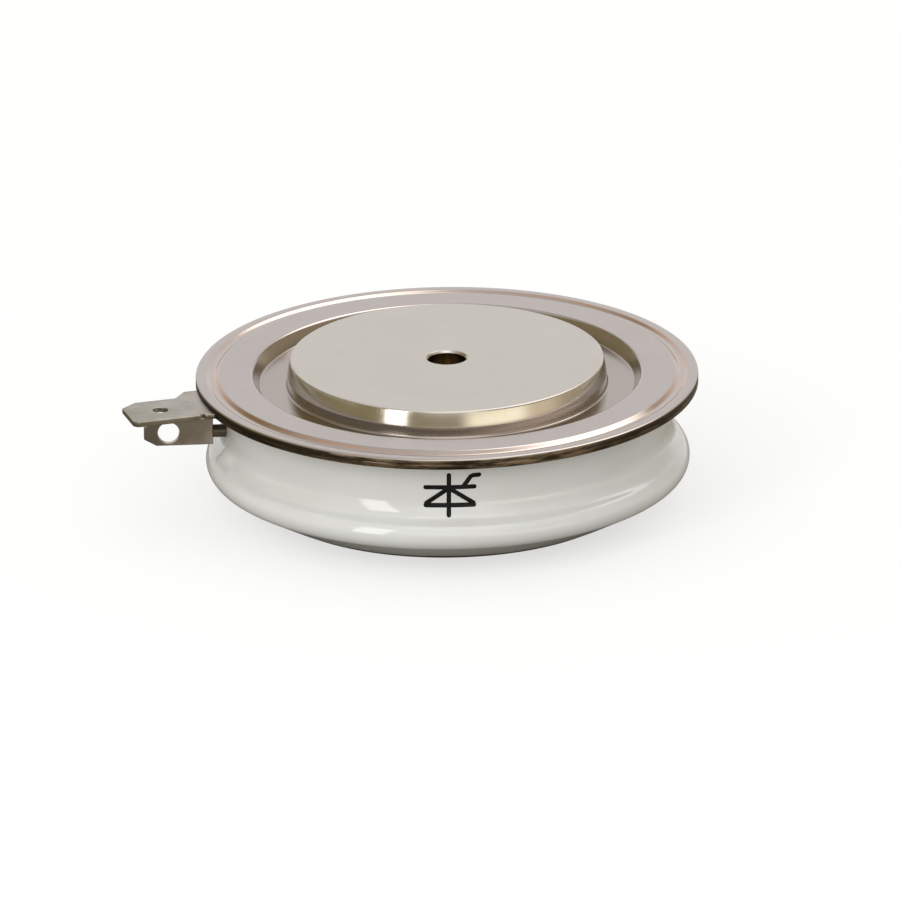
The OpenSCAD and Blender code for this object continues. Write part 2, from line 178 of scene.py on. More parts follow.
class TabSizes(PropertyGroup):
    """Sizes of the two tabs"""
    aux_azimuth: angle("Auxiliary direction", "Direction of the auxiliary tab", 196.5)
    aux_width: length("Auxiliary width", "Width of the auxiliary tab", 5.2 * MM)
    aux_length: length("Auxiliary length", "Length beyond the rim", 7.6 * MM)
    aux_hole: length("Auxiliary hole", "Radius of its hole", 0.7 * MM)
    aux_hole_inset: length("Auxiliary hole inset", "Hole centre to the end", 3.25 * MM)
    aux_corner: length("Auxiliary corner", "Length of the cut corner", 1.5 * MM)
    aux_corner_width: length("Auxiliary corner width", "Width of the cut corner", 1.1 * MM)
    aux_end_corner: length("Auxiliary end corner", "Size of the small cut corner", 0.4 * MM)
    root_width: length("Root width", "Widening of the tab's root on one side", 1.4 * MM)
    root_near: length("Root length", "Length of the wide root beyond the rim", 0.95 * MM)
    root_far: length("Root end", "Distance from the rim to the root's end", 2.2 * MM)
    notch_start: length("Notch place", "Distance from the rim to the notch", 0.8 * MM)
    notch_width: length("Notch width", "Width of the notch", 0.4 * MM)
    notch_depth: length("Notch depth", "Depth of the notch", 0.5 * MM)
    gate_azimuth: angle("Gate direction", "Direction of the gate tab", 183.5)
    gate_height: length("Gate height", "Height of the gate tab's middle", 7.5 * MM)
    gate_width: length("Gate width", "Width of the gate tab", 2.5 * MM)
    gate_thickness: length("Gate thickness", "Thickness of the gate tab", 0.5 * MM)
    gate_start: length("Gate start", "Distance of the tab from the axis", 21.75 * MM)
    gate_length: length("Gate length", "Length of the gate tab", 6.4 * MM)
    gate_hole: length("Gate hole", "Radius of its hole", 1.0 * MM)
    gate_hole_inset: length("Gate hole inset", "Hole centre to the end", 2.28 * MM)
    gate_corner: length("Gate corner", "Length of the cut corners", 1.15 * MM)
    gate_corner_width: length("Gate corner width", "Width of the cut corners", 0.65 * MM)
    tongue: length("Tongue", "Half the width of the tongue in the tube", 0.32 * MM)
    tongue_length: length("Tongue length", "Length of the tongue in the tube", 1.1 * MM)
    soften: length("Edge softening", "Width of the softened edges", 0.07 * MM)


class PrintSizes(PropertyGroup):
    """Sizes of the circuit symbol on the glaze"""
    height: length("Height", "Height of the bar", 8.82 * MM)
    stroke: length("Stroke", "Width of a stroke", 0.42 * MM)
    lift: length("Lift", "Gap between glaze and ink", 0.003 * MM)
    ink: length("Ink", "Thickness of the ink", 0.012 * MM)


class Steps(PropertyGroup):
    """Fineness of the turned pieces"""
    around: count("Steps around", "Steps of a turned piece round its axis", 256)
    edge: count("Steps per edge", "Steps of a broken edge", 3)
    corner: count("Steps per corner", "Steps of a small rounding", 6)
    sweep: count("Steps per sweep", "Steps of a large rounding", 20)


class Colours(PropertyGroup):
    """Colours of the finishes"""
    nickel: colour("Nickel", "Plating of the poles", (0.545, 0.51, 0.465))
    nickel_dull: colour("Dull nickel", "Handled plating of the poles", (0.51, 0.47, 0.42))
    nickel_scratch: colour("Scratched nickel", "Scratches on the poles", (0.82, 0.79, 0.74))
    # Painted shade: brown darkening inside the centring holes
    hole: colour("Hole", "Dull brown inside the centring holes", (0.34, 0.26, 0.13))
    flange: colour("Flange", "Plating of the flanges", (0.45, 0.40, 0.375))
    flange_dull: colour("Dull flange", "Handled plating of the flanges", (0.425, 0.37, 0.345))
    flange_scratch: colour("Scratched flange", "Scratches on the flanges", (0.80, 0.76, 0.72))
    # Painted shade: the recess colour darkens the recess and the shoulder's foot
    recess: colour("Recess", "Duller plating in the recess", (0.32, 0.275, 0.235))
    copper: colour("Copper", "Bare copper in the weld groove", (0.60, 0.33, 0.21))
    peach: colour("Peach", "Thin plating in the weld groove", (0.53, 0.44, 0.39))
    # Near-black rim edge: partly tarnish, partly painted shade; its brown patches partly wear,
    # partly painted reflection
    rim_edge_tarnish_and_shade: colour("Rim edge", "Tarnished edge of the rim", (0.05, 0.038, 0.026))
    rim_patch_wear_and_reflection: colour("Rim patch", "Worn patches on the rim's edge", (0.30, 0.235, 0.165))
    tab: colour("Tab", "Sheet of the auxiliary tab", (0.39, 0.355, 0.315))
    tab_dark: colour("Tab tarnish", "Tarnish on the auxiliary tab", (0.24, 0.22, 0.17))
    gate_tab: colour("Gate tab", "Sheet of the gate tab", (0.62, 0.545, 0.51))
    gate_tab_dark: colour("Gate tab tarnish", "Tarnish on the gate tab", (0.31, 0.30, 0.275))
    scratch: colour("Scratch", "Bright scratches on the tabs", (0.62, 0.59, 0.53))
    # Dark gate tube: partly tarnish, partly painted shade under the rim
    tube: colour("Gate tube", "Tarnished gate tube", (0.15, 0.13, 0.10))
    glaze: colour("Glaze", "Glazed ceramic", (0.80, 0.805, 0.785))
    glaze_grey: colour("Grey glaze", "Thin glaze on the ceramic", (0.745, 0.745, 0.715))
    speck: colour("Speck", "Specks in the glaze", (0.35, 0.33, 0.28))
    ink: colour("Ink", "Printed symbol", (0.006, 0.006, 0.007))
    ink_thin: colour("Thin ink", "Thinner places of the printed symbol", (0.014, 0.014, 0.014))


class StageSettings(PropertyGroup):
    """Camera and light"""
    elevation: angle("Elevation", "Height of the camera above the horizon", 20.4)
    roll: angle("Roll", "Turn of the camera about its line of sight", 0.62)
    distance: length("Distance", "Distance of the camera", 2.4)
    frame_width: length("Frame width", "Width of the view at the object", 83.26 * MM)
    aim_right: length("Aim to the right", "Middle of the view, right of the axis", 0.203524 * MM)
    aim_down: length("Aim down", "Middle of the view, below the rim", 7.188113 * MM)
    key_width: length("Key width", "Width of the key light", 0.16)
    key_height: length("Key height", "Height of the key light", 0.49)
    key_distance: length("Key distance", "Distance of the key light", 0.6)
    key_radiance: amount("Key light", "Radiance of the key light", 3.4)
    sky_strength: amount("Sky", "Strength of the soft light all round", 1.55)
    floor: colour("Floor", "Floor under the object", (0.40, 0.40, 0.39))
    floor_radius: length("Floor radius", "Radius of the floor", 0.25)
    floor_gap: length("Floor gap", "Gap between the floor and the object", 0.02 * MM)


class CapsuleSettings(PropertyGroup):
    """All settings of the capsule"""
    poles: PointerProperty(type=PoleSizes)
    rim: PointerProperty(type=RimSizes)
    ceramic: PointerProperty(type=CeramicSizes)
    tabs: PointerProperty(type=TabSizes)
    printing: PointerProperty(type=PrintSizes)
    steps: PointerProperty(type=Steps)
    colours: PointerProperty(type=Colours)
    stage: PointerProperty(type=StageSettings)


# Node helpers

NUMBER, VECTOR, WHOLE = "NodeSocketFloat", "NodeSocketVector", "NodeSocketInt"
SHAPE, OBJECT, FINISH = "NodeSocketGeometry", "NodeSocketObject", "NodeSocketMaterial"


class Wire:
    """An output of a node; arithmetic on it adds nodes to its tree."""

    def __init__(self, socket):
        self.socket = socket
        self.tree = socket.id_data

    def __add__(self, other):
        return maths("ADD", self, other)

    def __sub__(self, other):
        return maths("SUBTRACT", self, other)

    def __rsub__(self, other):
        return maths("SUBTRACT", other, self)

    def __mul__(self, other):
        return maths("MULTIPLY", self, other)

    def __truediv__(self, other):
        return maths("DIVIDE", self, other)

    def __rtruediv__(self, other):
        return maths("DIVIDE", other, self)


class Placed:
    """A new node of a tree, with its outputs by name or number."""

    def __init__(self, tree, kind, inputs=None, **settings):
        self.node = tree.nodes.new(kind)
        for key, value in settings.items():
            setattr(self.node, key, value)
        fill(self.node, inputs or {})

    def __getitem__(self, key):
        return Wire(self.node.outputs[key])


def fill(node, inputs):
    """Links or sets inputs of a node by name or number."""
    for key, value in inputs.items():
        if isinstance(value, Wire):
            value.tree.links.new(value.socket, node.inputs[key])
        else:
            node.inputs[key].default_value = value


def place(kind, inputs, **settings):
    """Adds a node to the tree that its inputs come from."""
    tree = next(value.tree for value in inputs.values() if isinstance(value, Wire))
    return Placed(tree, kind, inputs, **settings)


def maths(operation, *values):
    """One step of arithmetic on values that change from place to place."""
    return place("ShaderNodeMath", dict(enumerate(values)), operation=operation)[0]


def split(vector):
    """The three parts of a vector."""
    return place("ShaderNodeSeparateXYZ", {0: vector})


def join(x, y, z):
    """A vector from its three parts."""
    return place("ShaderNodeCombineXYZ", {0: x, 1: y, 2: z})[0]


def ease(value, low, high, to_low=0.0, to_high=1.0):
    """Smooth step of a value between two limits."""
    return place("ShaderNodeMapRange", {"Value": value, "From Min": low, "From Max": high,
                                        "To Min": to_low, "To Max": to_high},
                 interpolation_type="SMOOTHSTEP")["Result"]


def fade(value, low, high):
    """Smooth step down from one to zero."""
    return ease(value, low, high, 1.0, 0.0)


def towards(turn, direction, near, far):
    """Mask that is full close to one direction round the axis and gone further off."""
    return ease(maths("COSINE", turn - direction), math.cos(far), math.cos(near))


def noise(vector, scale, detail=2.0, roughness=0.5):
    """Noise between 0 and 1 over a vector in millimetres."""
    return place("ShaderNodeTexNoise", {"Vector": vector, "Scale": scale, "Detail": detail,
                                        "Roughness": roughness}, noise_dimensions="3D")["Fac"]


def opaque(rgb):
    """A plain colour with full alpha; a wire stays as it is."""
    return rgb if isinstance(rgb, Wire) else (*rgb, 1.0)


def blend(factor, first, second):
    """Mixes two colours by a mask."""
    return place("ShaderNodeMix", {0: factor, 6: opaque(first), 7: opaque(second)},
                 data_type="RGBA")[2]


def bump(height, strength, distance):
    """A normal from a height that changes over the surface."""
    return place("ShaderNodeBump", {"Height": height, "Strength": strength,
                                    "Distance": distance})["Normal"]


def new_tree(name, kind, inputs, outputs):
    """A new node tree with named sockets: its inputs, and the node that takes its results."""
    tree = bpy.data.node_groups.new(name, kind)
    for title, (socket_type, default) in inputs.items():
        socket = tree.interface.new_socket(title, in_out="INPUT", socket_type=socket_type)
        if default is not None:
            socket.default_value = default
    for title, socket_type in outputs.items():
        tree.interface.new_socket(title, in_out="OUTPUT", socket_type=socket_type)
    return Placed(tree, "NodeGroupInput"), Placed(tree, "NodeGroupOutput").node


# Shared effects

def ring_place(name):
    """Place on a round piece, in millimetres."""
    start, end = new_tree(name, "ShaderNodeTree", {"Object": (VECTOR, None)},
                          {"Point": VECTOR, "Radius": NUMBER, "Height": NUMBER, "Turn": NUMBER})
    point = place("ShaderNodeVectorMath", {0: start["Object"], "Scale": 1000.0},
                  operation="SCALE")["Vector"]
    x, y, z = split(point)
    radius = maths("SQRT", maths("POWER", x, 2.0) + maths("POWER", y, 2.0))
    fill(end, {"Point": point, "Radius": radius, "Height": z, "Turn": maths("ARCTAN2", y, x)})


def turning_marks(name):
    """Fine tool marks round the axis."""
    start, end = new_tree(name, "ShaderNodeTree", {
        "Point": (VECTOR, None), "Along": (NUMBER, 0.0), "Pitch": (NUMBER, 0.08),
        "Swing": (NUMBER, 0.06)}, {"Mark": NUMBER})
    x, y, _ = split(start["Point"])
    vector = join(start["Along"] / start["Pitch"], x * start["Swing"], y * start["Swing"])
    fill(end, {"Mark": noise(vector, 1.0, 3.0, 0.6)})


def hairlines(name):
    """Sparse fine scratches in three directions."""
    start, end = new_tree(name, "ShaderNodeTree", {
        "Point": (VECTOR, None), "Length": (NUMBER, 6.0), "Width": (NUMBER, 0.05),
        "Sparsity": (NUMBER, 0.7)}, {"Scratch": NUMBER})
    total = None
    limit = start["Sparsity"]
    for number, turn in enumerate((0.4, 1.35, 2.6)):
        x, y, z = split(place("ShaderNodeVectorRotate", {"Vector": start["Point"], "Angle": turn},
                              rotation_type="Z_AXIS")[0])
        vector = join(x / start["Length"], y / start["Width"], z + 17.0 * number)
        line = ease(noise(vector, 1.0, 1.0), limit, limit + 0.06)
        total = line if total is None else maths("MAXIMUM", total, line)
    fill(end, {"Scratch": total})


def handling(name):
    """Soft blotches left by handling."""
    start, end = new_tree(name, "ShaderNodeTree", {"Point": (VECTOR, None), "Size": (NUMBER, 6.0)},
                          {"Blotch": NUMBER, "Cloud": NUMBER})
    point, scale = start["Point"], 1.0 / start["Size"]
    fill(end, {"Blotch": ease(noise(point, scale, 4.0, 0.55), 0.38, 0.66),
               "Cloud": noise(point, scale * 3.7, 3.0, 0.6)})


def ring_band(name):
    """A soft band between two radii or two heights."""
    start, end = new_tree(name, "ShaderNodeTree", {
        "Along": (NUMBER, 0.0), "From": (NUMBER, 0.0), "To": (NUMBER, 1.0), "Blur": (NUMBER, 0.05)},
        {"Band": NUMBER})
    along, low, high, blur = (start[title] for title in ("Along", "From", "To", "Blur"))
    rise = ease(along, low - blur, low + blur)
    fill(end, {"Band": rise * fade(along, high - blur, high + blur)})


EFFECTS = {"Ring place": ring_place, "Turning marks": turning_marks, "Hairlines": hairlines,
           "Handling": handling, "Ring band": ring_band}


def use(name, inputs):
    """Places a shared effect, which is built on first use."""
    if name not in bpy.data.node_groups:
        EFFECTS[name](name)
    return place("ShaderNodeGroup", inputs, node_tree=bpy.data.node_groups[name])


def turning(point, along, pitch, swing):
    """Tool marks on a material, at a pitch along a radius or a height."""
    return use("Turning marks", {"Point": point, "Along": along, "Pitch": pitch,
                                 "Swing": swing})["Mark"]


def scratches(point, long, wide, sparsity):
    """Hairlines on a material."""
    return use("Hairlines", {"Point": point, "Length": long, "Width": wide,
                             "Sparsity": sparsity})["Scratch"]


def handled(point, size):
    """Blotch and cloud of handling on a material."""
    return use("Handling", {"Point": point, "Size": size})


def band(along, low, high, blur):
    """A soft band on a material."""
    return use("Ring band", {"Along": along, "From": low, "To": high, "Blur": blur})["Band"]


# Finishes

def material(name, build, *values, **named):
    """The named finish, built on first use."""
    found = bpy.data.materials.get(name)
    if found is None:
        found = bpy.data.materials.new(name)
        found.use_nodes = True
        tree = found.node_tree
        ring = use("Ring place", {"Object": Placed(tree, "ShaderNodeTexCoord")["Object"]})
        fill(tree.nodes["Principled BSDF"], build(ring, *values, **named))
    return found


def satin_nickel(ring, colours, face_height):
    """Lapped face and turned wall of a plated copper pole, with painted shade in the centring
    holes.
    """
    point, radius, height = ring["Point"], ring["Radius"], ring["Height"]
    face = ease(height, face_height - 0.12, face_height - 0.02)
    scratch = scratches(point, 5.0, 0.06, 0.69)
    touched = handled(point, 7.0)
    tint = blend(touched["Blotch"] * 0.35, colours.nickel, colours.nickel_dull)
    tint = blend(scratch * 0.18, tint, colours.nickel_scratch)
    # Painted shade: the centring holes' walls darkened to brown
    hole = fade(radius, 1.72, 1.80) * fade(height, face_height - 0.30, face_height - 0.12)
    marks = (turning(point, radius, 0.09, 0.05) * face
             + turning(point, height, 0.07, 0.12) * (1.0 - face))
    return {"Base Color": blend(hole * 0.85, tint, colours.hole), "Metallic": 1.0,
            "Roughness": face * 0.19 + 0.08 + marks * 0.08 + touched["Cloud"] * 0.06,
            "Normal": bump(marks - scratch * 0.6, 0.25, 0.000004)}


def tarnish_and_shade_edge(ring, colours, brown_share):
    """Colour of a welded rim's edge: near-black, partly tarnish, partly painted shade; brown
    patches either side of the front, partly wear, partly painted reflection; and its stains.
    """
    x, y, z = split(ring["Point"])
    stain = noise(join(x * 0.3, y * 0.3, z * 2.2), 1.0, 5.0, 0.6)
    # Brown patches either side of the front: partly wear, partly painted reflection
    patch = maths("MAXIMUM", towards(ring["Turn"], -1.25, 0.12, 0.35),
                  towards(ring["Turn"], -1.85, 0.12, 0.35))
    brown = ease(stain, 0.40, 0.62) * maths("MULTIPLY_ADD", patch, 1.0 - brown_share, brown_share)
    return blend(brown, colours.rim_edge_tarnish_and_shade, colours.rim_patch_wear_and_reflection), stain


def pressed_sheet(ring, colours, edge_radius, inner, outer):
    """Plated flange: pinkish nickel, bare copper at the weld groove, painted shade in the recess,
    and a dark edge, partly tarnish and partly painted shade.
    """
    point, radius, turn = ring["Point"], ring["Radius"], ring["Turn"]
    touched = handled(point, 5.0)
    marks = turning(point, radius, 0.12, 0.04)
    tint = blend(touched["Blotch"] * 0.4, colours.flange, colours.flange_dull)
    tint = blend(scratches(point, 4.0, 0.05, 0.70) * 0.2, tint, colours.flange_scratch)
    # Painted shade darkening the recess and the shoulder's foot
    tint = blend(ease(radius, inner - 3.9, inner - 3.4, 0.55, 0.0), tint, colours.recess)
    tint = blend(band(radius, inner, outer, 0.08) * 0.5, tint, colours.peach)
    patch = ease(noise(point, 0.35, 3.0, 0.6), 0.30, 0.62, 0.35, 1.0)
    for middle, spots in ((inner + 0.1, ((-2.55, 0.5, 0.95), (0.0, 0.25, 0.6))),
                          (outer - 0.1, ((0.45, 0.5, 1.0),))):
        line = band(radius, middle - 0.09, middle + 0.09, 0.06)
        bare = 0.12
        for direction, near, far in spots:
            bare = maths("MAXIMUM", bare, towards(turn, direction, near, far))
        tint = blend(line * (bare * patch * 0.8), tint, colours.copper)
    # Dark outer edge: partly tarnish, partly painted shade
    edge = ease(radius, edge_radius - 0.05, edge_radius - 0.015)
    dark, stain = tarnish_and_shade_edge(ring, colours, 0.12)
    return {"Base Color": blend(edge, tint, dark), "Metallic": 1.0,
            "Roughness": marks * 0.07 + 0.12 + touched["Cloud"] * 0.07 + edge * 0.25,
            "Normal": bump(marks + stain * edge, 0.25, 0.000006)}


def tab_sheet(ring, colours, tone, tarnish, edge_radius, end_from, end_tarnish):
    """Stamped sheet of the tabs, dull with tarnish, and the dark welded edge, partly tarnish and
    partly painted shade.
    """
    point, radius = ring["Point"], ring["Radius"]
    touched = handled(point, 2.6)
    scratch = scratches(point, 3.0, 0.04, 0.66)
    tint = blend(touched["Blotch"] * 0.55, tone, tarnish)
    tint = blend(scratch * 0.3, tint, colours.scratch)
    tint = blend(ease(radius, end_from, end_from + 1.2) * end_tarnish, tint, tarnish)
    # Dark band at the edge radius: partly tarnish, partly painted shade
    edge = band(radius, edge_radius - 0.12, edge_radius + 0.06, 0.05)
    dark, stain = tarnish_and_shade_edge(ring, colours, 0.35)
    relief = touched["Cloud"] + scratch * -0.5 + stain * edge
    return {"Base Color": blend(edge, tint, dark), "Metallic": 1.0,
            "Roughness": touched["Cloud"] * 0.2 + 0.24, "Normal": bump(relief, 0.2, 0.00001)}


def glazed_ceramic(ring, colours):
    """Glossy off-white glaze with a slightly wavy skin and a few specks."""
    point = ring["Point"]
    cloud = handled(point, 9.0)
    tint = blend(cloud["Blotch"] * 0.5, colours.glaze, colours.glaze_grey)
    specks = ease(noise(point, 2.4, 2.0), 0.76, 0.82)
    relief = noise(point, 0.35, 1.0) + noise(point, 1.6, 2.0) * 0.12
    return {"Base Color": blend(specks * 0.35, tint, colours.speck), "IOR": 1.65,
            "Roughness": cloud["Cloud"] * 0.06 + 0.05, "Normal": bump(relief, 0.35, 0.0001)}


def printing_ink(ring, colours):
    """Fired black ink, a little uneven."""
    cloud = handled(ring["Point"], 0.7)
    return {"Base Color": blend(cloud["Blotch"], colours.ink, colours.ink_thin),
            "Roughness": cloud["Cloud"] * 0.2 + 0.25, "Specular IOR Level": 0.15}


def inner_metal(ring, tone, dull, rough_low):
    """Ground metal of a piece inside the capsule."""
    point = ring["Point"]
    marks = turning(point, ring["Radius"], 0.1, 0.1)
    return {"Base Color": blend(handled(point, 3.0)["Blotch"], tone, dull), "Metallic": 1.0,
            "Roughness": marks * 0.15 + rough_low, "Normal": bump(marks, 0.2, 0.000005)}


def inner_polymer(ring, tone, dull, rough_low):
    """Moulded or cast polymer of a piece inside the capsule."""
    touched = handled(ring["Point"], 2.0)
    return {"Base Color": blend(touched["Blotch"], tone, dull),
            "Roughness": touched["Cloud"] * 0.2 + rough_low,
            "Normal": bump(touched["Cloud"], 0.2, 0.00001)}


# Turned pieces

def attribute(tree, name, kind):
    """A value stored on the points of the mesh."""
    return Placed(tree, "GeometryNodeInputNamedAttribute", {"Name": name},
                  data_type=kind)["Attribute"]


def give_out(shape, start, end):
    """Ends a geometry tree: real geometry with its finish."""
    shape = place("GeometryNodeRealizeInstances", {"Geometry": shape})[0]
    shape = place("GeometryNodeSetMaterial", {"Geometry": shape, "Material": start["Finish"]})[0]
    fill(end, {0: shape})


def turned_tree(name):
    """Geometry nodes: rounds the corners of an outline and turns it about the axis."""
    start, end = new_tree(name, "GeometryNodeTree", {
        "Outline": (SHAPE, None), "Steps around": (WHOLE, 192), "Rounding scale": (NUMBER, 1.0),
        "Crease angle": (NUMBER, 0.6), "Merge distance": (NUMBER, 2e-7), "Finish": (FINISH, None)},
        {"Turned": SHAPE})
    tree = end.id_data
    chain = place("GeometryNodeMeshToCurve", {"Mesh": start["Outline"]})[0]
    chain = place("GeometryNodeFilletCurve", {
        "Curve": chain, "Count": attribute(tree, "steps", "INT"), "Limit Radius": True,
        "Radius": attribute(tree, "rounding", "FLOAT") * start["Rounding scale"]}, mode="POLY")[0]
    rows = place("GeometryNodeAttributeDomainSize", {"Geometry": chain},
                 component="CURVE")["Point Count"]
    columns = start["Steps around"] + 1.0
    grid = place("GeometryNodeMeshGrid", {"Vertices X": rows, "Vertices Y": columns})["Mesh"]
    number = Placed(tree, "GeometryNodeInputIndex")[0]
    row = maths("FLOOR", (number + 0.5) / columns)
    turn = (number - row * columns) / start["Steps around"] * (2.0 * math.pi)
    radius, _, height = split(place("GeometryNodeSampleIndex", {
        "Geometry": chain, "Value": Placed(tree, "GeometryNodeInputPosition")[0], "Index": row},
        data_type="FLOAT_VECTOR", domain="POINT")[0])
    position = join(radius * maths("COSINE", turn), radius * maths("SINE", turn), height)
    shell = place("GeometryNodeSetPosition", {"Geometry": grid, "Position": position})[0]
    shell = place("GeometryNodeMergeByDistance", {"Geometry": shell,
                                                  "Distance": start["Merge distance"]})[0]
    shell = place("GeometryNodeSetShadeSmooth", {"Geometry": shell, "Shade Smooth": True},
                  domain="FACE")[0]
    fold = Placed(tree, "GeometryNodeInputMeshEdgeAngle")["Unsigned Angle"]
    crease = place("FunctionNodeCompare", {0: fold, 1: start["Crease angle"]}, data_type="FLOAT",
                   operation="GREATER_THAN")[0]
    shell = place("GeometryNodeSetShadeSmooth", {"Geometry": shell, "Selection": crease,
                                                 "Shade Smooth": False}, domain="EDGE")[0]
    give_out(shell, start, end)


def printed_tree(name):
    """Geometry nodes: draws round-ended strokes along edges and lays them on a surface."""
    start, end = new_tree(name, "GeometryNodeTree", {
        "Strokes": (SHAPE, None), "Surface": (OBJECT, None), "Stroke width": (NUMBER, 0.0004),
        "Step": (NUMBER, 0.00003), "Reach": (NUMBER, 0.05), "Lift": (NUMBER, 3e-6),
        "Layer lift": (NUMBER, 1e-6), "Finish": (FINISH, None)}, {"Print": SHAPE})
    tree = end.id_data
    chain = place("GeometryNodeMeshToCurve", {"Mesh": start["Strokes"]})[0]
    chain = place("GeometryNodeResampleCurve", {"Curve": chain, "Length": start["Step"]},
                  mode="LENGTH")[0]
    chain = place("GeometryNodeSetCurveNormal", {"Curve": chain}, mode="Z_UP")[0]
    done = Placed(tree, "GeometryNodeSplineParameter")["Length"]
    whole = Placed(tree, "GeometryNodeSplineLength")["Length"]
    half = start["Stroke width"] * 0.5
    near = maths("MINIMUM", done, whole - done)
    short = maths("MAXIMUM", 1.0 - near / half, 0.0)
    swell = maths("SQRT", maths("MAXIMUM", 1.0 - short * short, 0.0))
    nib = Placed(tree, "GeometryNodeCurvePrimitiveLine", {"Start": (-1.0, 0.0, 0.0),
                                                          "End": (1.0, 0.0, 0.0)})[0]
    nib = place("GeometryNodeResampleCurve", {"Curve": nib, "Count": 5}, mode="COUNT")[0]
    sheet = place("GeometryNodeCurveToMesh", {"Curve": chain, "Profile Curve": nib,
                                              "Scale": half * swell})[0]
    sheet = place("GeometryNodeMergeByDistance", {"Geometry": sheet, "Distance": 1e-7})[0]
    x, y, _ = split(Placed(tree, "GeometryNodeInputPosition")[0])
    surface = place("GeometryNodeObjectInfo", {"Object": start["Surface"]},
                    transform_space="RELATIVE")["Geometry"]
    ray = place("GeometryNodeRaycast", {
        "Target Geometry": surface, "Source Position": join(x, start["Reach"] * -1.0, y),
        "Ray Direction": (0.0, 1.0, 0.0), "Ray Length": start["Reach"]})
    raised = maths("MULTIPLY_ADD", attribute(tree, "layer", "FLOAT"), start["Layer lift"],
                   start["Lift"])
    offset = place("ShaderNodeVectorMath", {0: ray["Hit Normal"], "Scale": raised},
                   operation="SCALE")["Vector"]
    target = place("ShaderNodeVectorMath", {0: ray["Hit Position"], 1: offset},
                   operation="ADD")["Vector"]
    sheet = place("GeometryNodeSetPosition", {"Geometry": sheet, "Position": target})[0]
    give_out(sheet, start, end)


TREES = {"Turned piece": turned_tree, "Printed strokes": printed_tree}


def grow(piece, name, values):
    """Runs a geometry tree on a piece, with its inputs set by their identifiers."""
    if name not in bpy.data.node_groups:
        TREES[name](name)
    modifier = piece.modifiers.new(name, "NODES")
    modifier.node_group = bpy.data.node_groups[name]
    sockets = {item.name: item.identifier for item in modifier.node_group.interface.items_tree
               if item.item_type == "SOCKET" and item.in_out == "INPUT"}
    for title, value in values.items():
        modifier[sockets[title]] = value
    return settle(piece)


# Meshes

def new_object(name, data):
    """Links a new object at the origin."""
    made = bpy.data.objects.new(name, data)
    bpy.context.scene.collection.objects.link(made)
    return made


def from_shape(name, shape):
    """A new object from a shape, which is used up."""
    mesh = bpy.data.meshes.new(name)
    shape.to_mesh(mesh)
    shape.free()
    return new_object(name, mesh)


def settle(piece):
    """Turns an object and its modifiers into one plain mesh."""
    bpy.context.view_layer.update()
    graph = bpy.context.evaluated_depsgraph_get()
    mesh = bpy.data.meshes.new_from_object(piece.evaluated_get(graph),
                                           preserve_all_data_layers=True, depsgraph=graph)
    piece.modifiers.clear()
    old = piece.data
    piece.data = mesh
    bpy.data.meshes.remove(old)
    mesh.name = piece.name
    return piece


def close_up(piece):
    """Merges doubles and turns the faces outwards; an open shell is an error."""
    shell = bmesh.new()
    shell.from_mesh(piece.data)
    bmesh.ops.remove_doubles(shell, verts=shell.verts, dist=2e-7)
    bmesh.ops.recalc_face_normals(shell, faces=shell.faces)
    loose = sum(not e.is_manifold for e in shell.edges)
    if shell.calc_volume(signed=True) < 0.0:
        bmesh.ops.reverse_faces(shell, faces=shell.faces)
    shell.to_mesh(piece.data)
    shell.free()
    if loose:
        raise RuntimeError(f"{piece.name} has {loose} open edges")
    return piece


def even_shading(piece):
    """Keeps the shading of flat faces flat beside small roundings."""
    weighted = piece.modifiers.new("Even shading", "WEIGHTED_NORMAL")
    weighted.keep_sharp = True
    weighted.mode = "FACE_AREA"
    return settle(piece)


def turned(context, name, outline, finish):
    """A turned piece from corners of (radius, height, rounding, steps)."""
    settings = context.scene.capsule.steps
    mesh = bpy.data.meshes.new(name)
    mesh.from_pydata([(corner[0], 0.0, corner[1]) for corner in outline],
                     [(i, i + 1) for i in range(len(outline) - 1)], [])
    for title, kind, column, fallback in (("rounding", "FLOAT", 2, 0.0),
                                          ("steps", "INT", 3, settings.corner)):
        values = [corner[column] if len(corner) > column else fallback for corner in outline]
        mesh.attributes.new(title, kind, "POINT").data.foreach_set("value", values)
    return close_up(grow(new_object(name, mesh), "Turned piece",
                         {"Steps around": settings.around, "Finish": finish}))


def combine(piece, tool, operation):
    """Cuts or joins a piece with a tool, which is used up."""
    change = piece.modifiers.new(operation, "BOOLEAN")
    change.operation = operation
    change.solver = "EXACT"
    change.object = tool
    settle(piece)
    mesh = tool.data
    bpy.data.objects.remove(tool)
    bpy.data.meshes.remove(mesh)
    return piece


def rod(radius, low, high, matrix, sides=64):
    """A round tool from low to high along its own axis."""
    shape = bmesh.new()
    bmesh.ops.create_cone(shape, cap_ends=True, segments=sides, radius1=radius, radius2=radius,
                          depth=high - low,
                          matrix=Matrix.Translation((0.0, 0.0, (low + high) / 2)))
    tool = from_shape("rod", shape)
    tool.data.transform(matrix)
    return tool


def prism(name, outline, low, high):
    """An upright plate with a flat outline."""
    shape = bmesh.new()
    base = shape.faces.new([shape.verts.new((x, y, low)) for x, y in outline])
    raised = bmesh.ops.extrude_face_region(shape, geom=[base])["geom"]
    bmesh.ops.translate(shape, vec=(0.0, 0.0, high - low),
                        verts=[v for v in raised if isinstance(v, bmesh.types.BMVert)])
    bmesh.ops.recalc_face_normals(shape, faces=shape.faces)
    return from_shape(name, shape)


def soften(piece, width):
    """Softens the sheared edges of a stamped plate."""
    edges = piece.modifiers.new("Soft edges", "BEVEL")
    edges.width = width
    edges.segments = 3
    edges.limit_method = "ANGLE"
    edges.angle_limit = math.radians(40.0)
    settle(piece)
    piece.data.shade_smooth()
    return piece


